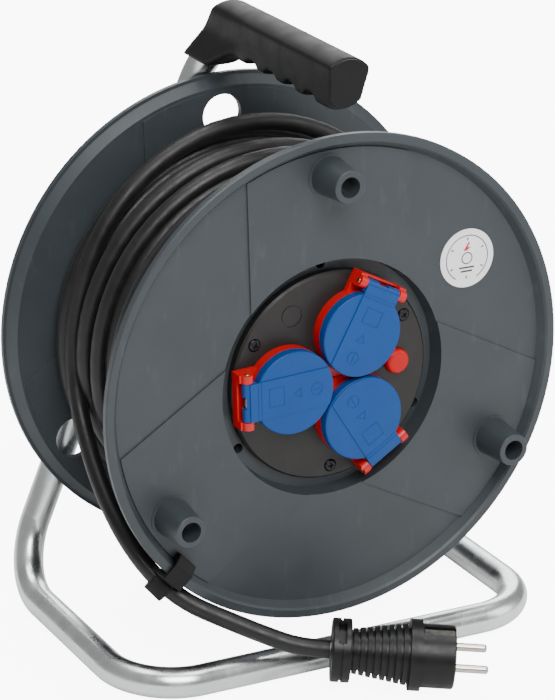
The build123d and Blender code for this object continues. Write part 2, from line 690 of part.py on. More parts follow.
# ---------------------------------------------------------------- lids
for number, angle in enumerate(OUTLETS, start=1):
    with BuildPart() as lid:
        with BuildSketch(outlet_plane(angle, LID_FRONT)):
            with Locations((OUTLET_CIRCLE_R, 0)):
                Circle(LID_R)
        extrude(amount=-LID_T)
        fillet(lid.faces().sort_by(Axis.Y)[0].edges(), 1.0)
        with BuildSketch(outlet_plane(angle, LID_FRONT + 2.0)):
            with Locations((OUTLET_CIRCLE_R, 0)):
                Circle(LID_R)
                Circle(LID_R - LID_SKIRT_T, mode=Mode.SUBTRACT)
        extrude(amount=-(COLLAR_FRONT - 0.3 - LID_FRONT - 2.0))
        # raised band across the lid, running into the hinge arm
        with BuildSketch(outlet_plane(angle, LID_FRONT + 1.0)):
            with Locations((OUTLET_CIRCLE_R, 0)):
                Circle(LID_R - 0.6)
            with Locations((OUTLET_CIRCLE_R, 0)):
                Rectangle(2 * LID_R, 2 * HINGE_HALF, mode=Mode.INTERSECT)
            with Locations(((HINGE_RADIAL + 44) / 2, 0)):
                Rectangle(HINGE_RADIAL - 44, 2 * HINGE_HALF)
        extrude(amount=1.6)
        with BuildSketch(hinge_plane(angle, -HINGE_HALF)):
            Circle(KNUCKLE_R)
            with Locations((-LID_ARM / 2, 1.6)):
                Rectangle(LID_ARM, 3.4)
        extrude(amount=2 * HINGE_HALF)
        with BuildSketch(hinge_plane(angle, -HINGE_HALF - 1)):
            Circle(HINGE_PIN_R + 0.05)
        extrude(amount=2 * HINGE_HALF + 2, mode=Mode.SUBTRACT)
        # slot for the closing spring
        with BuildSketch(hinge_plane(angle, -3.6)):
            with Locations((0.6, -1.2)):
                Rectangle(7.6, 7.2)
        extrude(amount=7.2, mode=Mode.SUBTRACT)
    save(lid, f"lid_{number}")

    with BuildPart() as seal:
        with BuildSketch(outlet_plane(angle, LID_FRONT + LID_T)):
            with Locations((OUTLET_CIRCLE_R, 0)):
                Circle(SEAL_OUT_R)
                Circle(SEAL_IN_R, mode=Mode.SUBTRACT)
        extrude(amount=-(COLLAR_FRONT - 0.1 - LID_FRONT - LID_T))
    save(seal, f"lid_seal_{number}")

    with BuildPart() as pin:
        with BuildSketch(hinge_plane(angle, -EAR_OUT - 0.4)):
            Circle(HINGE_PIN_R)
        extrude(amount=2 * EAR_OUT + 0.8)
        chamfer(pin.edges().filter_by(GeomType.CIRCLE), 0.3)
    save(pin, f"hinge_pin_{number}")

    with BuildPart() as spring:
        with BuildSketch(hinge_plane(angle, -3.0)):
            Circle(2.3)
            Circle(HINGE_PIN_R + 0.05, mode=Mode.SUBTRACT)
        extrude(amount=6.0)
    save(spring, f"lid_spring_{number}")

# ---------------------------------------------------------------- cable
with BuildPart() as cable_winding:
    winding_front = FACE_BACK + SKIN + WINDING_GAP
    winding_back = DRUM_LENGTH - winding_front
    turned(
        [
            (WINDING_IN_R, winding_front),
            (WINDING_OUT_R, winding_front),
            (WINDING_OUT_R, winding_back),
            (WINDING_IN_R, winding_back),
        ]
    )
save(cable_winding, "cable_winding")

PLUG_REAR = Vector(-24.3, -113.6, 25.3)
PLUG_DIR = Vector(0.8805, -0.4715, -0.048).normalized()
PLUG_RUN = 19.0               # last straight piece of cable behind the plug
lead_route = [
    Vector(-112.0, 42.0, 184.5),
    Vector(-114.2, 38.5, 162.9),
    Vector(-115.0, 32.1, 141.8),
    Vector(-116.3, 14.2, 118.1),
    Vector(-122.4, -24.5, 98.0),
    Vector(-114.5, -47.1, 76.3),
    Vector(-103.6, -56.7, 58.0),
    Vector(-89.2, -70.9, 46.5),
    Vector(-70.6, -84.3, 42.8),
    Vector(-56.8, -96.2, 33.1),
    PLUG_REAR - PLUG_DIR * PLUG_RUN,
    PLUG_REAR,
]
lead_radii = bend_radii(lead_route)
print("lead bend radii", [round(radius) for radius in lead_radii])
with BuildPart() as cable_lead:
    with BuildLine() as lead_path:
        FilletPolyline(*lead_route, radius=lead_radii)
    lead_start = Plane(origin=lead_route[0], z_dir=lead_route[1] - lead_route[0])
    with BuildSketch(lead_start):
        Circle(CABLE_R)
    sweep(path=lead_path.wires()[0])
lead_length = lead_path.wires()[0].length
tube_volume = lead_length * pi * CABLE_R**2
print("lead length", round(lead_length, 1), "volume ratio", round(cable_lead.part.volume / tube_volume, 4))
save(cable_lead, "cable_lead")

# clip that snaps over the rim and holds the cable in a ring
CLIP_ANGLE = 225.0
CLIP_LENGTH = 14.0
CLIP_RING_R = CABLE_R + 2.8
CLIP_RING_LENGTH = 12.0
clip_out = Vector(cos(radians(CLIP_ANGLE)), 0, sin(radians(CLIP_ANGLE)))
clip_along = Vector(-sin(radians(CLIP_ANGLE)), 0, cos(radians(CLIP_ANGLE)))
held_centre = lead_route[6]
held_dir = (lead_route[7] - lead_route[5]).normalized()
with BuildPart() as cable_clip:
    with BuildSketch(Plane(origin=held_centre - held_dir * CLIP_RING_LENGTH / 2, z_dir=held_dir)):
        Circle(CLIP_RING_R)
    extrude(amount=CLIP_RING_LENGTH)
    # jaw on the flange face, bridge over the rim and leg back to the ring
    jaw_end = around(0, 0, 0) + clip_along * CLIP_LENGTH / 2
    with BuildSketch(Plane(origin=jaw_end, x_dir=clip_out, z_dir=-clip_along)):
        with BuildLine():
            Polyline(
                (131.5, -0.4),
                (131.5, -4.6),
                (136.2, -4.6),
                (138.6, 0.4),
                (145.5, 0.4),
                (145.5, -14.0),
                (148.2, -14.0),
                (148.2, 2.6),
                (137.6, 2.6),
                close=True,
            )
        make_face()
    extrude(amount=CLIP_LENGTH)
    with BuildSketch(lead_start):
        Circle(CABLE_R + 0.1)
    sweep(path=lead_path.wires()[0], mode=Mode.SUBTRACT)
save(cable_clip, "cable_clip")

# ---------------------------------------------------------------- plug
sideways = PLUG_DIR.cross(Vector(0, 0, 1)).normalized() * -1
upright = PLUG_DIR.cross(sideways).normalized()
PIN_ROLL = 13.0
roll = radians(PIN_ROLL) if upright.Z > 0 else -radians(PIN_ROLL)
pin_line = sideways * cos(roll) + upright * sin(roll)
PLUG_AXIS = Axis(PLUG_REAR, PLUG_DIR)


def plug_plane(along):
    """A plane across the plug at a distance from its rear end; local X along the line of the pins."""
    return Plane(origin=PLUG_REAR + PLUG_DIR * along, x_dir=pin_line, z_dir=PLUG_DIR)


CAP_LENGTH = 10.8
CLAMP_ANGLE = 107.0
CLAMP_WIDTH = 4.8
CLAMP_DEPTH = 5.5
CONE_START = 12.0
CONE_END = 44.0
COLLAR_END = 50.5
FACE_END = 69.5
RIBS = 8

with BuildPart() as plug_cap:
    with BuildSketch(plug_plane(0)):
        Circle(PLUG_CAP_R)
    extrude(amount=CAP_LENGTH)
    fillet(plug_cap.edges(), 0.8)
    with BuildSketch(plug_plane(CAP_LENGTH / 2 - 0.7)):
        Circle(PLUG_CAP_R + 1)
        Circle(PLUG_CAP_R - 1.2, mode=Mode.SUBTRACT)
    extrude(amount=1.4, mode=Mode.SUBTRACT)
    # recess for the cable clamp's screws
    with BuildSketch(plug_plane((CAP_LENGTH - CLAMP_WIDTH) / 2)):
        with PolarLocations(PLUG_CAP_R, 1, start_angle=CLAMP_ANGLE):
            Rectangle(2 * CLAMP_DEPTH, 14)
    extrude(amount=CLAMP_WIDTH, mode=Mode.SUBTRACT)
save(plug_cap, "plug_cap")

plug_side = Plane(origin=PLUG_REAR, x_dir=pin_line, z_dir=pin_line.cross(PLUG_DIR))
with BuildPart() as plug_body:
    outline = [(0, CAP_LENGTH), (10.5, CAP_LENGTH), (10.5, CONE_START)]
    pitch = (CONE_END - CONE_START) / RIBS
    for rib in range(RIBS):
        start = CONE_START + rib * pitch
        crest = 12.6 + 5.0 * (rib + 0.5) / RIBS
        outline += [(crest, start), (crest + 0.3, start + 0.62 * pitch)]
        outline += [(crest - 2.0, start + 0.62 * pitch), (crest - 2.0, start + pitch)]
    outline += [(PLUG_COLLAR_R, CONE_END), (PLUG_COLLAR_R, COLLAR_END), (PLUG_FACE_R, COLLAR_END)]
    outline += [(PLUG_FACE_R, FACE_END - 0.8), (PLUG_FACE_R - 0.8, FACE_END), (0, FACE_END)]
    with BuildSketch(plug_side):
        with BuildLine():
            Polyline(*outline, close=True)
        make_face()
    revolve(axis=PLUG_AXIS)
    # side channels for the earth contacts
    with BuildSketch(plug_plane(COLLAR_END + 1)):
        for side in (-1, 1):
            with Locations((0, side * PLUG_FACE_R)):
                Rectangle(7.0, 5.0)
    extrude(amount=FACE_END - COLLAR_END, mode=Mode.SUBTRACT)
    with BuildSketch(plug_plane(FACE_END)):
        with GridLocations(2 * CONTACT_HALF, 1, 2, 1):
            Circle(PIN_ROOT_R)
    extrude(amount=-PIN_ROOT_LENGTH, mode=Mode.SUBTRACT)
save(plug_body, "plug_body")

with BuildPart() as plug_pins:
    with BuildSketch(plug_plane(FACE_END - PIN_ROOT_LENGTH)):
        with GridLocations(2 * CONTACT_HALF, 1, 2, 1):
            Circle(PIN_ROOT_R)
    extrude(amount=PIN_ROOT_LENGTH)
    with BuildSketch(plug_plane(FACE_END)):
        with GridLocations(2 * CONTACT_HALF, 1, 2, 1):
            Circle(PIN_R)
    extrude(amount=PIN_LENGTH)
    pin_ends = plug_pins.faces().sort_by(Axis(PLUG_REAR, PLUG_DIR))[-2:]
    fillet(pin_ends.edges(), 1.6)
save(plug_pins, "plug_pins")

with BuildPart() as plug_earth:
    with BuildSketch(plug_plane(COLLAR_END + 1)):
        for side in (-1, 1):
            with Locations((0, side * (PLUG_FACE_R - 1.9))):
                Rectangle(5.0, 1.2)
    extrude(amount=FACE_END - COLLAR_END - 2)
save(plug_earth, "plug_earth")

# ---------------------------------------------------------------- grip
GRIP_BACK_TOP = DRUM_FRONT + 138.0
GRIP_HALF = 12.5
SOCKET_R = 10.7
HEEL_TOP = 5.0                # below the tube's centre line
HEEL_DROP = 24.0
HEEL_FRONT_TOP = 96.0         # behind the drum's front
HEEL_FRONT = 130.0
HEEL_BACK = 166.0
HEEL_CORNER_R = 7.0
FINGER_FIRST = 20.5
FINGER_PITCH = 22.8
FINGER_R = 9.5
FINGER_DROP = 19.7
with BuildPart() as grip:
    # hand bar: flat left side, crowned top, right side tapering in to the underside
    section = Plane(origin=(0, GRIP_FRONT, GRIP_Z), x_dir=(1, 0, 0), z_dir=(0, -1, 0))
    with BuildSketch(section) as bar_section:
        with BuildLine():
            Line((-GRIP_HALF, -13.6), (-GRIP_HALF, 9.0))
            ThreePointArc((-GRIP_HALF, 9.0), (0.5, 13.6), (GRIP_HALF - 1.2, 8.6))
            ThreePointArc((GRIP_HALF - 1.2, 8.6), (GRIP_HALF + 0.2, 6.8), (GRIP_HALF, 4.0))
            Line((GRIP_HALF, 4.0), (8.0, -11.0))
            ThreePointArc((8.0, -11.0), (-2.0, -15.4), (-GRIP_HALF, -13.6))
        make_face()
    extrude(amount=-(LEG_Y + SOCKET_R - GRIP_FRONT))
    # heel that grows out of the bar and follows the leaning tube down
    heel_x = HEEL_DROP * lean.X / lean.Z
    with BuildSketch(Plane.XY.offset(GRIP_Z - HEEL_TOP)):
        with Locations((-1.2, DRUM_FRONT + (HEEL_FRONT_TOP + HEEL_BACK) / 2)):
            RectangleRounded(2 * GRIP_HALF - 2.4, HEEL_BACK - HEEL_FRONT_TOP, HEEL_CORNER_R)
    with BuildSketch(Plane.XY.offset(GRIP_Z - HEEL_DROP)):
        with Locations((-heel_x, DRUM_FRONT + (HEEL_FRONT + HEEL_BACK) / 2)):
            RectangleRounded(2 * GRIP_HALF - 2.4, HEEL_BACK - HEEL_FRONT, HEEL_CORNER_R)
    loft()
    # sloping back above the heel
    with BuildSketch(Plane.YZ.offset(-40)):
        with BuildLine():
            Polyline(
                (GRIP_BACK_TOP, GRIP_Z + 16),
                (GRIP_BACK_TOP, GRIP_Z + 12.5),
                (LEG_Y + SOCKET_R, GRIP_Z - 27),
                (LEG_Y + 40, GRIP_Z - 27),
                (LEG_Y + 40, GRIP_Z + 16),
                close=True,
            )
        make_face()
    extrude(amount=80, mode=Mode.SUBTRACT)
    # finger hollows on the underside
    with BuildSketch(Plane.YZ.offset(-20)):
        for finger in range(4):
            with Locations((DRUM_FRONT + FINGER_FIRST + FINGER_PITCH * finger, GRIP_Z - FINGER_DROP)):
                Circle(FINGER_R)
    extrude(amount=40, mode=Mode.SUBTRACT)
    # bore for the tube
    bore_end = Vector(0, LEG_Y, GRIP_Z) - lean * 70
    with BuildLine() as bore_path:
        FilletPolyline((0, GRIP_FRONT + 17.9, GRIP_Z), (0, LEG_Y, GRIP_Z), bore_end, radius=[ELBOW_R])
    with BuildSketch(Plane(origin=(0, GRIP_FRONT + 17.9, GRIP_Z), z_dir=(0, 1, 0))):
        Circle(TUBE_R + 0.02)
    sweep(path=bore_path.wires()[0], mode=Mode.SUBTRACT)
    # relief above the turning rear rim
    with BuildSketch(face(0)):
        Circle(FLANGE_R + 2.5)
    extrude(amount=-(DRUM_LENGTH + 1.2), mode=Mode.SUBTRACT)
save(grip, "grip")

# end cap on the front of the grip
cap_section = Plane(origin=(0, GRIP_FRONT, GRIP_Z), x_dir=(1, 0, 0), z_dir=(0, -1, 0))
with BuildPart() as grip_end_cap:
    with BuildSketch(cap_section):
        with BuildLine():
            Line((-GRIP_HALF + 0.6, -10.0), (-GRIP_HALF + 0.6, 8.6))
            ThreePointArc((-GRIP_HALF + 0.6, 8.6), (0.5, 12.9), (GRIP_HALF - 1.8, 7.6))
            Line((GRIP_HALF - 1.8, 7.6), (6.6, -9.6))
            ThreePointArc((6.6, -9.6), (-2.0, -13.8), (-GRIP_HALF + 0.6, -10.0))
        make_face()
    extrude(amount=1.6)
save(grip_end_cap, "grip_end_cap")
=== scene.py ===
"""Looks of the cable reel: camera, light, the real cable and the moulded details around the CAD frame.

Metres, in the frame's own axes: X right, Y backwards along the axle, Z up.  "back" is a distance behind
the front rim's front plane.
"""

import json
from math import cos, pi, radians, sin, tau

import bmesh
import bpy
from mathutils import Matrix, Vector


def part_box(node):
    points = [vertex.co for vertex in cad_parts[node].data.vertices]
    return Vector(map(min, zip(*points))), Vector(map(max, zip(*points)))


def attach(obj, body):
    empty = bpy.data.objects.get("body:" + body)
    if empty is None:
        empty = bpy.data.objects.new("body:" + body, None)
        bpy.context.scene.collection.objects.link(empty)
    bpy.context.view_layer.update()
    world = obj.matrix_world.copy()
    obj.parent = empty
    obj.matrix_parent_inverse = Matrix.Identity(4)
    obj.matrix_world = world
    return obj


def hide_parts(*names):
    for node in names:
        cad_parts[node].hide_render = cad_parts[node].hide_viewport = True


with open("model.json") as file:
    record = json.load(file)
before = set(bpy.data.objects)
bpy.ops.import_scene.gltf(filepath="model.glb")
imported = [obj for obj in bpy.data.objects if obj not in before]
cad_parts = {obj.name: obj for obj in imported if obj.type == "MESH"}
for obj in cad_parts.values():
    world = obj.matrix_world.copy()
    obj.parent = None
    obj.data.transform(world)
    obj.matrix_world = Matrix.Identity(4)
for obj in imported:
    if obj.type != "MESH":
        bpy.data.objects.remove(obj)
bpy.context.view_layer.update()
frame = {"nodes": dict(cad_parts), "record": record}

# ---------------------------------------------------------------- frame sizes
MM = 0.001
nodes = frame["nodes"]
DRUM_LENGTH = 142.8 * MM
AXIS_Z = (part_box("cable_winding")[0].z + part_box("cable_winding")[1].z) / 2
DRUM_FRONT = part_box("rear_flange")[1].y - DRUM_LENGTH
CABLE_R = 5.25 * MM
OUTLETS = [63 + 120 * k for k in range(3)]    # the outlets' angles on the drum, in degrees


def around(radius, angle, back):
    """The point at a radius and angle on the drum, a distance behind its front plane."""
    turn = radians(angle)
    return Vector((radius * cos(turn), DRUM_FRONT + back, AXIS_Z + radius * sin(turn)))


# ---------------------------------------------------------------- camera
CAMERA_PLACE = Vector((-0.8368, -1.51345, 0.8255))
CAMERA_AZIMUTH = -27.6
CAMERA_ELEVATION = 20.28
CAMERA_ROLL = 0.89
LENS = 163.3
LENS_SHIFT = (0.0964, -0.0557)


def look_from(place, azimuth, elevation, roll):
    """A camera matrix: azimuth 0 looks along +Y, elevation looks down, roll turns the picture."""
    a, e, r = radians(azimuth), radians(elevation), radians(roll)
    back = Vector((sin(a) * cos(e), -cos(a) * cos(e), sin(e)))
    right = Vector((0, 0, 1)).cross(back).normalized()
    up = back.cross(right)
    axes = Matrix((right * cos(r) + up * sin(r), up * cos(r) - right * sin(r), back)).transposed()
    return Matrix.Translation(place) @ axes.to_4x4()


def add_camera():
    data = bpy.data.cameras.new("camera")
    camera = bpy.data.objects.new("camera", data)
    bpy.context.collection.objects.link(camera)
    camera.matrix_world = look_from(CAMERA_PLACE, CAMERA_AZIMUTH, CAMERA_ELEVATION, CAMERA_ROLL)
    data.lens = LENS
    data.sensor_width = 36
    data.shift_x, data.shift_y = LENS_SHIFT
    data.clip_start = 0.05
    bpy.context.scene.camera = camera


add_camera()

# ---------------------------------------------------------------- the cable's line
WINDING_FRONT = 15.4 * MM     # first and last turns' centres, measured back
WINDING_BACK = 127.4 * MM
LAYER_R = [87.85 * MM, 96.15 * MM, 104.45 * MM, 112.75 * MM]
GLAND_BACK = 116 * MM
TURN_POINTS = 16
START_TURN = 0.25             # from the gland to the rear flange
LAYER_TURNS = 10.45
THIRD_LAYER_TURNS = 10.5
CLIMB = 0.3                   # turns over which one layer climbs to the next
# the top layer: (turns, height above the layer, back) from the front flange to the rear one
TOP_STAGES = [
    (3.0, 0.0, WINDING_FRONT + 33 * MM),
    (0.9, -1.5 * MM, WINDING_FRONT + 60 * MM),
    (1.4, -2.0 * MM, WINDING_BACK - 26 * MM),
    (0.4, -5.0 * MM, WINDING_BACK),
    (0.62, 0.5 * MM, WINDING_BACK - 5 * MM),
]
LEAD_ANGLE = 172.0            # where the cable leaves the winding
LEAD_BACK = 112.4 * MM
LEAD_DROP = 0.2               # turns over which the last one comes down
RAISED = 8.5 * MM             # height of the last turn over the top layer
RAISED_BACK = LEAD_BACK + 1 * MM
SETTLED = 0.3 * MM            # height at which it leaves
SLACK = 0.5 * MM              # how unevenly the turns lie, along the axle
SLACK_OUTWARD = 0.4           # share of that in their radius
GLAND_ANGLE = 273.0
WINDING_TURNS = 39 + (LEAD_ANGLE - GLAND_ANGLE + 360) / 360
# from the winding to the plug
LEAD = [
    (-0.1120, 0.0420, 0.1845),
    (-0.1142, 0.0385, 0.1629),
    (-0.1150, 0.0321, 0.1418),
    (-0.1163, 0.0142, 0.1181),
    (-0.1187, -0.0117, 0.0990),
    (-0.1170, -0.0361, 0.0813),
    (-0.1079, -0.0536, 0.0630),
    (-0.0926, -0.0666, 0.0482),
    (-0.0743, -0.0803, 0.0399),
    (-0.0566, -0.0942, 0.0325),
    (-0.0398, -0.1053, 0.0261),
    (-0.0243, -0.1136, 0.0253),
]


def winding_stages():
    """(turns, radius at the end, back at the end): each layer, with a climb to the next at the flange."""
    front, rear = WINDING_FRONT, WINDING_BACK
    first, second, third, top = LAYER_R
    stages = [(START_TURN, first, rear), (LAYER_TURNS, first, front), (CLIMB, second, front)]
    stages += [(LAYER_TURNS, second, rear), (CLIMB, third, rear), (THIRD_LAYER_TURNS, third, front)]
    stages += [(CLIMB, top, front)]
    stages += [(turns, top + height, back) for turns, height, back in TOP_STAGES]
    # the last turn climbs over the others and comes down to the lead
    done = sum(turns for turns, radius, back in stages) + LEAD_DROP
    return stages + [(WINDING_TURNS - done, top + RAISED, RAISED_BACK), (LEAD_DROP, top + SETTLED, LEAD_BACK)]


def winding_points():
    """Control points of the wound cable, anticlockwise seen from the front, from the gland to the lead."""
    step = tau / TURN_POINTS
    reach = 1 / cos(step / 2)
    turned, radius, back = 0.0, LAYER_R[0], GLAND_BACK
    start_turn = GLAND_ANGLE / 360
    points = []
    for turns, end_radius, end_back in winding_stages():
        count = max(1, round(turns * TURN_POINTS))
        for k in range(count):
            t = k / count
            angle = tau * (start_turn + turned + turns * t)
            slack = SLACK * sin(5 * angle + 11 * turned) * sin(1.7 * angle)
            r = (radius + (end_radius - radius) * t) * reach + slack * SLACK_OUTWARD
            s = back + (end_back - back) * t + slack
            points.append(Vector((r * cos(angle), DRUM_FRONT + s, AXIS_Z + r * sin(angle))))
        turned += turns
        radius, back = end_radius, end_back
    return points


def add_cable():
    curve = bpy.data.curves.new("cable", "CURVE")
    curve.dimensions = "3D"
    curve.resolution_u = 4
    curve.bevel_depth = CABLE_R
    curve.bevel_resolution = 5
    curve.use_fill_caps = True
    spline = curve.splines.new("NURBS")
    points = winding_points() + [Vector(p) for p in LEAD]
    spline.points.add(len(points) - 1)
    for knot, where in zip(spline.points, points):
        knot.co = (*where, 1)
    spline.order_u = 3
    spline.use_endpoint_u = True
    cable = bpy.data.objects.new("cable", curve)
    bpy.context.collection.objects.link(cable)
    return cable


cable = add_cable()


# ---------------------------------------------------------------- material tools
GRAIN = 0.35 * MM             # moulded plastic's texture
GRAIN_DEPTH = 0.012 * MM
MOTTLE = 45 * MM              # its cloudy patches
RIPPLE = 30 * MM              # its uneven surface
RIPPLE_DEPTH = 0.10 * MM
SCRATCH = 6 * MM
WORN_EDGE = 0.5 * MM
DUST_PATCH = 22 * MM          # rubber's dusty patches
SKIN = 0.5 * MM               # rubber's fine skin
SKIN_DEPTH = 0.015 * MM
PIT = 0.8 * MM                # metal's pits
PIT_DEPTH = 0.01 * MM
WAVE_DEPTH = 0.10 * MM        # metal's shallow waves
PLAIN_GLOSS = 0.4


def start_material(name):
    """A new material with its shader and a function that adds a node with some settings."""
    mat = bpy.data.materials.new(name)
    mat.use_nodes = True
    tree = mat.node_tree
    shader = tree.nodes["Principled BSDF"]

    def add(kind, **settings):
        node = tree.nodes.new("ShaderNode" + kind)
        for key, value in settings.items():
            if key.startswith("in_"):
                index = key[3:]
                node.inputs[int(index) if index.isdigit() else index.replace("_", " ")].default_value = value
            else:
                setattr(node, key, value)
        return node

    return mat, tree, shader, add


def noise(tree, add, size, detail=3.0, stretch=(1, 1, 1)):
    """Noise with features of about that size, in object space; stretch shortens or draws it out."""
    where = add("TexCoord")
    mapping = add("Mapping", in_Scale=tuple(c / size for c in stretch))
    texture = add("TexNoise", in_Scale=1.0, in_Detail=detail)
    tree.links.new(where.outputs["Object"], mapping.inputs["Vector"])
    tree.links.new(mapping.outputs["Vector"], texture.inputs["Vector"])
    return texture.outputs["Fac"]


def spread(tree, add, value, low, high, from_low=0.3, from_high=0.7):
    """Map a texture's middle range onto low to high."""
    node = add("MapRange", in_From_Min=from_low, in_From_Max=from_high, in_To_Min=low, in_To_Max=high)
    tree.links.new(value, node.inputs["Value"])
    return node.outputs["Result"]


def blend_colour(tree, add, amount, first, second):
    """Mix two colours, either of them a plain colour or another node's output, by an amount."""
    node = add("Mix", data_type="RGBA")
    tree.links.new(amount, node.inputs["Factor"])
    for socket, colour in ((node.inputs[6], first), (node.inputs[7], second)):
        if isinstance(colour, tuple):
            socket.default_value = (*colour, 1)
        else:
            tree.links.new(colour, socket)
    return node.outputs[2]


def bumps(tree, add, shader, layers):
    """Stack height textures, each (value, depth in metres), into the shader's normal."""
    normal = None
    for value, depth in layers:
        node = add("Bump", in_Strength=1.0, in_Distance=depth)
        tree.links.new(value, node.inputs["Height"])
        if normal:
            tree.links.new(normal, node.inputs["Normal"])
        normal = node.outputs["Normal"]
    tree.links.new(normal, shader.inputs["Normal"])


def edge_mask(tree, add, radius):
    """1 on sharp edges, 0 on flat faces: how far the rounded normal turns from the true one."""
    rounded = add("Bevel", samples=6, in_Radius=radius)
    true = add("NewGeometry")
    dot = add("VectorMath", operation="DOT_PRODUCT")
    tree.links.new(rounded.outputs["Normal"], dot.inputs[0])
    tree.links.new(true.outputs["Normal"], dot.inputs[1])
    return spread(tree, add, dot.outputs["Value"], 1.0, 0.0, 0.82, 0.995)


def scuffs(tree, add, size, amount):
    """Thin, sparse scratches: the crests of a drawn-out noise."""
    streak = noise(tree, add, size, 2.0, (1.0, 0.16, 0.3))
    return spread(tree, add, streak, 0.0, amount, 0.62, 0.72)


def plastic(name, colour, roughness, wear, gloss=PLAIN_GLOSS, grain_depth=GRAIN_DEPTH):
    """Moulded plastic: fine grain, slight mottling, handling scuffs and edges worn paler."""
    mat, tree, shader, add = start_material(name)
    pale = tuple(min(1.0, c * (1 + 0.45 * wear) + 0.006 * wear) for c in colour)
    deep = tuple(c * 0.88 for c in colour)
    mottle = spread(tree, add, noise(tree, add, MOTTLE, 4.0), 0.0, 1.0)
    base = blend_colour(tree, add, mottle, deep, colour)
    scratch = scuffs(tree, add, SCRATCH, 0.35)
    marked = blend_colour(tree, add, scratch, base, pale)
    worn_edge = add("Math", operation="MULTIPLY")
    tree.links.new(edge_mask(tree, add, WORN_EDGE), worn_edge.inputs[0])
    tree.links.new(spread(tree, add, noise(tree, add, 9 * MM, 3.0), 0.15, 0.9), worn_edge.inputs[1])
    finished = blend_colour(tree, add, worn_edge.outputs[0], marked, pale)
    tree.links.new(finished, shader.inputs["Base Color"])
    rough = spread(tree, add, noise(tree, add, 12 * MM, 5.0), roughness - 0.05, roughness + 0.07)
    tree.links.new(rough, shader.inputs["Roughness"])
    shader.inputs["Specular IOR Level"].default_value = gloss
    fine = noise(tree, add, GRAIN, 2.0)
    wide = noise(tree, add, RIPPLE, 2.0)
    bumps(tree, add, shader, [(wide, RIPPLE_DEPTH), (fine, grain_depth)])
    return mat


def rubber(name, colour, roughness, dust, gloss=PLAIN_GLOSS):
    """Matt rubber: dusty variation, a faint sheen and a fine skin."""
    mat, tree, shader, add = start_material(name)
    dusty = tuple(c + 0.02 * dust for c in colour)
    patch = spread(tree, add, noise(tree, add, DUST_PATCH, 5.0), 0.0, 1.0, 0.35, 0.75)
    tree.links.new(blend_colour(tree, add, patch, colour, dusty), shader.inputs["Base Color"])
    rough = spread(tree, add, noise(tree, add, 7 * MM, 4.0), roughness - 0.08, roughness + 0.10)
    tree.links.new(rough, shader.inputs["Roughness"])
    shader.inputs["Sheen Weight"].default_value = 0.03
    shader.inputs["Specular IOR Level"].default_value = gloss
    shader.inputs["Sheen Roughness"].default_value = 0.6
    fine = noise(tree, add, SKIN, 3.0)
    wide = noise(tree, add, 10 * SKIN, 2.0)
    bumps(tree, add, shader, [(fine, SKIN_DEPTH), (wide, 0.05 * MM)])
    return mat


def metal(name, colour, roughness, cloud, variation=0.12, streak=(1, 1, 1)):
    """Plated or drawn metal: cloudy sheen, fine streaks along one axis and shallow pits."""
    mat, tree, shader, add = start_material(name)
    shader.inputs["Metallic"].default_value = 1.0
    darker = tuple(c * (1 - 1.6 * variation) for c in colour)
    clouds = spread(tree, add, noise(tree, add, cloud, 5.0, streak), 0.0, 1.0, 0.35, 0.65)
    tree.links.new(blend_colour(tree, add, clouds, darker, colour), shader.inputs["Base Color"])
    rough = spread(tree, add, noise(tree, add, cloud * 0.5, 4.0, streak), roughness * 0.75, roughness * 1.3)
    tree.links.new(rough, shader.inputs["Roughness"])
    waves = noise(tree, add, cloud * 1.4, 2.0, streak)
    bumps(tree, add, shader, [(waves, WAVE_DEPTH), (noise(tree, add, PIT, 3.0, streak), PIT_DEPTH)])
    return mat


def film(name, colour):
    """Printed label film: smooth and faintly clouded, with a soft gloss."""
    mat, tree, shader, add = start_material(name)
    aged = tuple(c * 0.93 for c in colour)
    cloud = spread(tree, add, noise(tree, add, 9 * MM, 3.0), 0.0, 1.0)
    tree.links.new(blend_colour(tree, add, cloud, aged, colour), shader.inputs["Base Color"])
    tree.links.new(spread(tree, add, noise(tree, add, 3 * MM), 0.28, 0.38), shader.inputs["Roughness"])
    bumps(tree, add, shader, [(noise(tree, add, 4 * MM, 2.0), 0.02 * MM)])
    return mat


LOOKS = {
    "drum_plastic": plastic("drum_plastic", (0.036, 0.044, 0.049), 0.42, 0.9),
    "panel_black": plastic("panel_black", (0.012, 0.011, 0.010), 0.46, 0.6),
    "grip_black": plastic("grip_black", (0.005, 0.005, 0.0055), 0.50, 0.6, 0.24, 0.02 * MM),
    "socket_red": plastic("socket_red", (0.56, 0.002, 0.003), 0.36, 0.12),
    "lid_blue": plastic("lid_blue", (0.0004, 0.055, 0.235), 0.42, 0.1, 0.28),
    "button_red": plastic("button_red", (0.52, 0.0006, 0.0006), 0.36, 0.08, 0.25),
    "bush_plastic": plastic("bush_plastic", (0.5, 0.5, 0.47), 0.45, 0.3),
    "label": film("label", (0.93, 0.93, 0.92)),
    "label_ink": film("label_ink", (0.045, 0.048, 0.052)),
    "label_red": film("label_red", (0.50, 0.015, 0.012)),
    "galvanised_steel": metal("galvanised_steel", (0.80, 0.83, 0.83), 0.27, 26 * MM, 0.07, (1, 1, 0.35)),
    "zinc_screw": metal("zinc_screw", (0.62, 0.62, 0.59), 0.30, 4 * MM),
    "black_screw": metal("black_screw", (0.035, 0.035, 0.038), 0.35, 3 * MM),
    "brass": metal("brass", (0.74, 0.52, 0.24), 0.28, 3 * MM),
    "nickel": metal("nickel", (0.60, 0.56, 0.50), 0.20, 6 * MM, 0.06),
    "cable_rubber": rubber("cable_rubber", (0.0042, 0.0042, 0.0039), 0.44, 0.14),
    "plug_rubber": rubber("plug_rubber", (0.0028, 0.0028, 0.0028), 0.36, 0.06, 0.28),
    "seal_rubber": rubber("seal_rubber", (0.02, 0.02, 0.022), 0.6, 0.5),
}


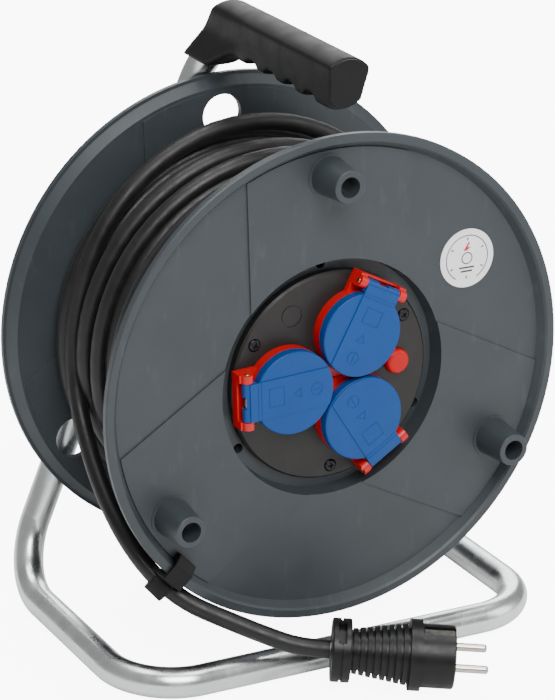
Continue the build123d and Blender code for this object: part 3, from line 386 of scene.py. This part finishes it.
def dress(piece, look):
    """Give a piece its material."""
    piece.data.materials.clear()
    piece.data.materials.append(LOOKS[look])


for subpart in frame["record"]["subparts"]:
    node = nodes[subpart["node"]]
    dress(node, subpart["material_slot"])
    for face in node.data.polygons:
        face.material_index = 0


def place(piece, look, body, *replaced, slot=None):
    """Finish a new piece: material, the body it rides on and the CAD nodes it stands for. The slot argument
    is not used.
    """
    dress(piece, look)
    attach(piece, body)
    if replaced:
        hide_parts(*replaced)


place(cable, "cable_rubber", "drum", "cable_winding", "cable_lead")


# ---------------------------------------------------------------- mesh tools
def mesh_piece(name, build, smooth=True):
    """A mesh object whose faces a function adds to a bmesh."""
    shape = bmesh.new()
    build(shape)
    bmesh.ops.recalc_face_normals(shape, faces=shape.faces)
    data = bpy.data.meshes.new(name)
    shape.to_mesh(data)
    shape.free()
    for face in data.polygons:
        face.use_smooth = smooth
    piece = bpy.data.objects.new(name, data)
    bpy.context.collection.objects.link(piece)
    return piece


def softened(name, source, voxel, rounds):
    """A copy of a CAD node with moulded, rounded edges: remeshed finely, then relaxed."""
    copy = bpy.data.objects.new(name, nodes[source].data.copy())
    bpy.context.collection.objects.link(copy)
    remesh = copy.modifiers.new("remesh", "REMESH")
    remesh.mode = "VOXEL"
    remesh.voxel_size = voxel
    relax = copy.modifiers.new("relax", "SMOOTH")
    relax.factor = 0.5
    relax.iterations = rounds
    mesh = bpy.data.meshes.new_from_object(copy.evaluated_get(bpy.context.evaluated_depsgraph_get()))
    bpy.data.objects.remove(copy)
    mesh.name = name
    for face in mesh.polygons:
        face.use_smooth = True
    piece = bpy.data.objects.new(name, mesh)
    bpy.context.collection.objects.link(piece)
    return piece


def relax_behind(piece, start, full, rounds):
    """Round a piece's moulding more behind a line, fading in from start to full along Y."""
    group = piece.vertex_groups.new(name="behind")
    for vertex in piece.data.vertices:
        weight = (vertex.co.y - start) / (full - start)
        if weight > 0:
            group.add([vertex.index], min(1.0, weight), "REPLACE")
    relax = piece.modifiers.new("relax_behind", "SMOOTH")
    relax.factor = 0.5
    relax.iterations = rounds
    relax.vertex_group = group.name


def wire_piece(name, points, radius):
    """A round wire through points, as a smooth NURBS curve."""
    curve = bpy.data.curves.new(name, "CURVE")
    curve.dimensions = "3D"
    curve.bevel_depth = radius
    curve.bevel_resolution = 3
    curve.use_fill_caps = True
    spline = curve.splines.new("NURBS")
    spline.points.add(len(points) - 1)
    for knot, where in zip(spline.points, points):
        knot.co = (*where, 1)
    spline.order_u = 3
    spline.use_endpoint_u = True
    piece = bpy.data.objects.new(name, curve)
    bpy.context.collection.objects.link(piece)
    return piece


# ---------------------------------------------------------------- moulded rubber and grip pieces
HEEL_START = DRUM_FRONT + 96 * MM
HEEL_FULL = DRUM_FRONT + 116 * MM
HEEL_ROUNDS = 60

grip_moulding = softened("grip_moulding", "grip", 1.0 * MM, 5)
relax_behind(grip_moulding, HEEL_START, HEEL_FULL, HEEL_ROUNDS)
place(grip_moulding, "grip_black", "stand", "grip")
place(softened("clip_moulding", "cable_clip", 0.45 * MM, 4), "grip_black", "drum", "cable_clip")


# ---------------------------------------------------------------- lid closing springs
HINGE_R = 57.6 * MM
HINGE_BACK = 0.3 * MM
COIL_R = 1.95 * MM
COIL_HALF = 2.4 * MM
COIL_TURNS = 7
COIL_STEPS = 12
SPRING_WIRE_R = 0.28 * MM
# where the legs end: outward from the axle and forward, seen from the pin
LID_LEG = (-4.6 * MM, -1.9 * MM)
HOUSING_LEG = (0.3 * MM, -3.1 * MM)


def spring_points(angle):
    """A torsion spring on a hinge pin: close coils, with a leg inwards at each end."""
    outward = Vector((cos(radians(angle)), 0, sin(radians(angle))))
    along = Vector((sin(radians(angle)), 0, -cos(radians(angle))))
    forward = Vector((0, -1, 0))
    centre = around(HINGE_R, angle, HINGE_BACK)
    points = [centre - along * COIL_HALF + outward * LID_LEG[0] + forward * LID_LEG[1]]
    count = COIL_TURNS * COIL_STEPS
    for k in range(count + 1):
        turn = -pi / 2 - tau * k / COIL_STEPS
        spoke = outward * cos(turn) + forward * sin(turn)
        points.append(centre + along * (COIL_HALF * (2 * k / count - 1)) + spoke * COIL_R)
    points.append(centre + along * COIL_HALF + outward * HOUSING_LEG[0] + forward * HOUSING_LEG[1])
    return points


for number, angle in enumerate(OUTLETS, start=1):
    spring = wire_piece(f"spring_wire_{number}", spring_points(angle), SPRING_WIRE_R)
    place(spring, "nickel", "drum", f"lid_spring_{number}")

# ---------------------------------------------------------------- raised marks on the lids
LID_BAND_BACK = -3.6 * MM     # the front of a lid's raised band
MARK_HEIGHT = 0.22 * MM
MARK_FOOT = -0.05 * MM        # how far a mark starts inside the lid
MARK_WIDTH = 0.45 * MM
MARK_TOP = 0.55               # share of the width that is flat
HINGE_HALF = 11.2 * MM
FIELD_R = 41 * MM             # places are distances from the axle, towards the hinge
FIELD_ACROSS = 0.5 * MM
FIELD_HALF = (4.6 * MM, 5.6 * MM)
TRIANGLE = [(25.4 * MM, -3.0 * MM), (25.4 * MM, 3.0 * MM), (29.8 * MM, 0)]
SIGN_R = 15.5 * MM
SIGN_RING_R = 3.6 * MM
SIGN_BAR_HALF = 2.3 * MM
HINGE_RIDGES = (50.6 * MM, 52.6 * MM)


def lid_point(angle, radial, across, back):
    """A point on a lid: radial from the axle towards its hinge, across along the hinge."""
    outward = Vector((cos(radians(angle)), 0, sin(radians(angle))))
    along = Vector((sin(radians(angle)), 0, -cos(radians(angle))))
    return Vector((0, DRUM_FRONT + back, AXIS_Z)) + outward * radial + along * across


def add_ribbon(shape, angle, outline, closed):
    """A low rounded-top rib along an outline of (radial, across) points on a lid."""
    count = len(outline)
    profile = [(-1.0, MARK_FOOT), (-MARK_TOP, MARK_HEIGHT), (MARK_TOP, MARK_HEIGHT), (1.0, MARK_FOOT)]
    rows = []
    for k in range(count):
        here = Vector(outline[k])
        before = Vector(outline[k - 1]) if closed or k else here
        after = Vector(outline[(k + 1) % count]) if closed or k < count - 1 else here
        one, two = (here - before), (after - here)
        one = one.normalized() if one.length else two.normalized()
        two = two.normalized() if two.length else one
        normal = Vector((-(one.y + two.y), one.x + two.x)).normalized()
        wide = MARK_WIDTH / 2 / max(0.4, abs(normal.dot(Vector((-one.y, one.x)))))
        row = []
        for offset, rise in profile:
            spot = here + normal * wide * offset
            row.append(shape.verts.new(lid_point(angle, spot.x, spot.y, LID_BAND_BACK - rise)))
        rows.append(row)
    pairs = list(zip(rows, rows[1:] + rows[:1])) if closed else list(zip(rows, rows[1:]))
    for first, second in pairs:
        for i in range(4):
            j = (i + 1) % 4
            shape.faces.new((first[i], first[j], second[j], second[i]))
    if not closed:
        shape.faces.new(rows[0][::-1])
        shape.faces.new(rows[-1])


def box_outline(x, y, half_x, half_y):
    corners = ((-1, -1), (1, -1), (1, 1), (-1, 1))
    return [(x + half_x * i, y + half_y * j) for i, j in corners]


def ring_outline(x, radius, count=28):
    return [(x + radius * cos(tau * k / count), radius * sin(tau * k / count)) for k in range(count)]


def lid_marks(angle):
    """Generic mouldings: a label field near the hinge, an open triangle and a small ring."""

    def build(shape):
        add_ribbon(shape, angle, box_outline(FIELD_R, FIELD_ACROSS, *FIELD_HALF), True)
        add_ribbon(shape, angle, TRIANGLE, True)
        add_ribbon(shape, angle, ring_outline(SIGN_R, SIGN_RING_R), True)
        add_ribbon(shape, angle, [(SIGN_R - SIGN_BAR_HALF, 0), (SIGN_R + SIGN_BAR_HALF, 0)], False)
        for ridge in HINGE_RIDGES:
            add_ribbon(shape, angle, [(ridge, -HINGE_HALF), (ridge, HINGE_HALF)], False)

    return build


for number, angle in enumerate(OUTLETS, start=1):
    marks = mesh_piece(f"lid_marks_{number}", lid_marks(angle), smooth=False)
    place(marks, "lid_blue", f"lid_{number}")

# ---------------------------------------------------------------- print on the round label
LABEL_LOW, LABEL_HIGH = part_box("round_label")
LABEL_X = (LABEL_LOW.x + LABEL_HIGH.x) / 2
LABEL_Z = (LABEL_LOW.z + LABEL_HIGH.z) / 2
INK_Y = LABEL_LOW.y - 0.03 * MM
OPEN_RING = (13.4 * MM, 14.0 * MM)
INNER_RING = (3.0 * MM, 3.7 * MM)
SPOKE = (10.6 * MM, 12.4 * MM)
SPOKE_HALF = 2                # degrees
LINE_TOP = -6.2 * MM
LINE_PITCH = 2.2 * MM
LINE_HALF = (5.0 * MM, 3.8 * MM)
LINE_HEIGHT = 1.1 * MM
BOLT = [(0.6, 9.6), (-2.6, 4.6), (-0.4, 4.6), (2.4, 6.6), (0.2, 6.6), (1.8, 9.6)]


def add_patch(shape, outline):
    """A flat printed patch from (across, up) points on the label."""
    shape.faces.new([shape.verts.new((LABEL_X + x, INK_Y, LABEL_Z + z)) for x, z in outline])


def add_band(shape, edges, start, end, steps):
    """A printed arc between two radii and two angles in degrees."""
    inner, outer = edges
    for k in range(steps):
        one, two = (radians(start + (end - start) * (k + i) / steps) for i in range(2))
        corners = [(inner, one), (outer, one), (outer, two), (inner, two)]
        add_patch(shape, [(r * cos(a), r * sin(a)) for r, a in corners])


def label_ring(shape):
    """A coil of cable in plain line work: an open ring, an inner ring, short spokes and two lines."""
    add_band(shape, OPEN_RING, -60, 240, 60)
    add_band(shape, INNER_RING, 0, 360, 30)
    for angle in range(30, 360, 60):
        add_band(shape, SPOKE, angle - SPOKE_HALF, angle + SPOKE_HALF, 1)
    for row, half in enumerate(LINE_HALF):
        low = LINE_TOP - LINE_PITCH * row
        add_patch(shape, [(-half, low), (half, low), (half, low + LINE_HEIGHT), (-half, low + LINE_HEIGHT)])


def label_bolt(shape):
    """A plain lightning mark."""
    add_patch(shape, [(x * MM, z * MM) for x, z in BOLT])


place(mesh_piece("label_ring", label_ring, smooth=False), "label_ink", "drum", slot="label")
place(mesh_piece("label_bolt", label_bolt, smooth=False), "label_red", "drum", slot="label")

# ---------------------------------------------------------------- floor and light
FLOOR_HALF = 12.0
GLOW = 8.0                    # brightness of the floor and surroundings, as the camera sees them
SURROUNDING_LIGHT = 0.35
AIM = Vector((0, 0, 0.17))
# name, place, size, power
LIGHTS = [
    ("key", (-0.5, -2.1, 2.3), (1.6, 1.6), 95),
    ("fill", (2.2, -1.4, 1.2), (1.4, 1.8), 22),
    ("top", (0.2, 0.3, 2.6), (2.2, 1.6), 60),
    ("back", (1.3, 2.4, 1.35), (2.4, 1.3), 38),
]


def pale_floor():
    mat, tree, shader, add = start_material("floor")
    patch = spread(tree, add, noise(tree, add, 250 * MM, 3.0), 0.0, 1.0)
    shade = blend_colour(tree, add, patch, (0.86, 0.86, 0.86), (0.88, 0.88, 0.88))
    tree.links.new(shade, shader.inputs["Base Color"])
    shader.inputs["Roughness"].default_value = 0.7
    shader.inputs["Emission Color"].default_value = (1, 1, 1, 1)
    seen = add("LightPath")
    glow = add("Math", operation="MULTIPLY", in_1=GLOW)
    tree.links.new(seen.outputs["Is Camera Ray"], glow.inputs[0])
    tree.links.new(glow.outputs[0], shader.inputs["Emission Strength"])
    return mat


def add_floor():
    def build(shape):
        outline = box_outline(0, 0, FLOOR_HALF, FLOOR_HALF)
        shape.faces.new([shape.verts.new((x, y, 0)) for x, y in outline])

    floor = mesh_piece("floor", build, smooth=False)
    floor.data.materials.append(pale_floor())


def add_light(name, position, size, power):
    data = bpy.data.lights.new(name, "AREA")
    data.shape = "RECTANGLE"
    data.size, data.size_y = size
    data.energy = power
    light = bpy.data.objects.new(name, data)
    bpy.context.collection.objects.link(light)
    light.location = position
    light.visible_camera = False
    light.rotation_euler = (AIM - Vector(position)).to_track_quat("-Z", "Y").to_euler()


def add_world():
    """White surroundings that light the object softly and look as bright as the floor."""
    world = bpy.data.worlds.new("studio")
    world.use_nodes = True
    tree = world.node_tree
    background = tree.nodes["Background"]
    background.inputs["Color"].default_value = (1, 1, 1, 1)
    seen = tree.nodes.new("ShaderNodeLightPath")
    glow = tree.nodes.new("ShaderNodeMath")
    glow.operation = "MULTIPLY_ADD"
    glow.inputs[1].default_value = GLOW
    glow.inputs[2].default_value = SURROUNDING_LIGHT
    tree.links.new(seen.outputs["Is Camera Ray"], glow.inputs[0])
    tree.links.new(glow.outputs[0], background.inputs["Strength"])
    bpy.context.scene.world = world


add_floor()
for light in LIGHTS:
    add_light(*light)
add_world()
